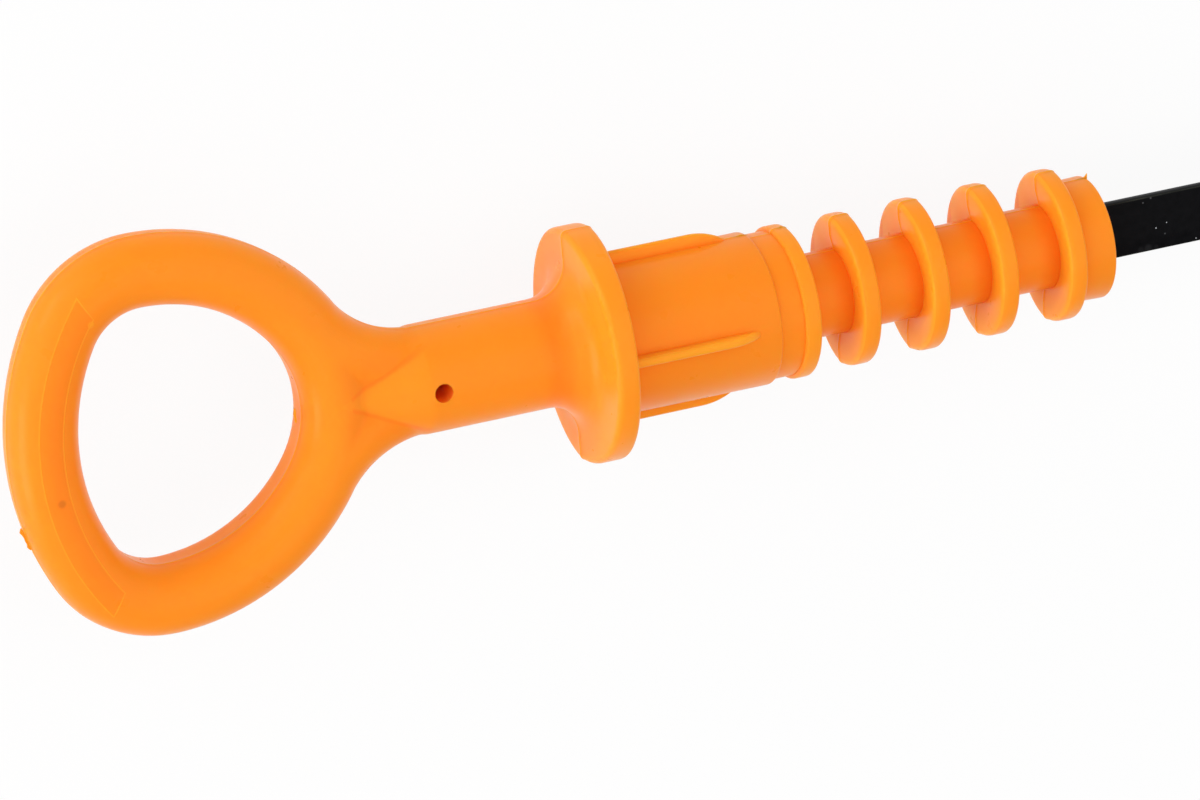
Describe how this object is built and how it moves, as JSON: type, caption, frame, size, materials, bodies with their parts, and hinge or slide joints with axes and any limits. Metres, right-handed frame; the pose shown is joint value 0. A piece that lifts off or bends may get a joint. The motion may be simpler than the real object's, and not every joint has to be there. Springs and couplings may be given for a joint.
{
  "type": "engine oil dipstick",
  "caption": "Oil dipstick: a flat steel blade moulded into a plastic handle with a finger loop, a seating flange, a ribbed plug and sealing fins.",
  "frame": {"origin": "middle of the flange's face that seats on the tube's mouth, on the stick's axis", "axes": "+X along the stick towards the blade's tip, +Y across the finger loop, +Z square to the loop, up as it lies"},
  "size_m": [0.3999, 0.035, 0.0206],
  "materials": {
    "handle_plastic": "moulded, glossy, bright orange",
    "blade_steel": "glossy black coating on flat steel strip"
  },
  "bodies": {
    "root": {"handle": "handle_plastic", "blade": "blade_steel"}
  },
  "joints": []
}
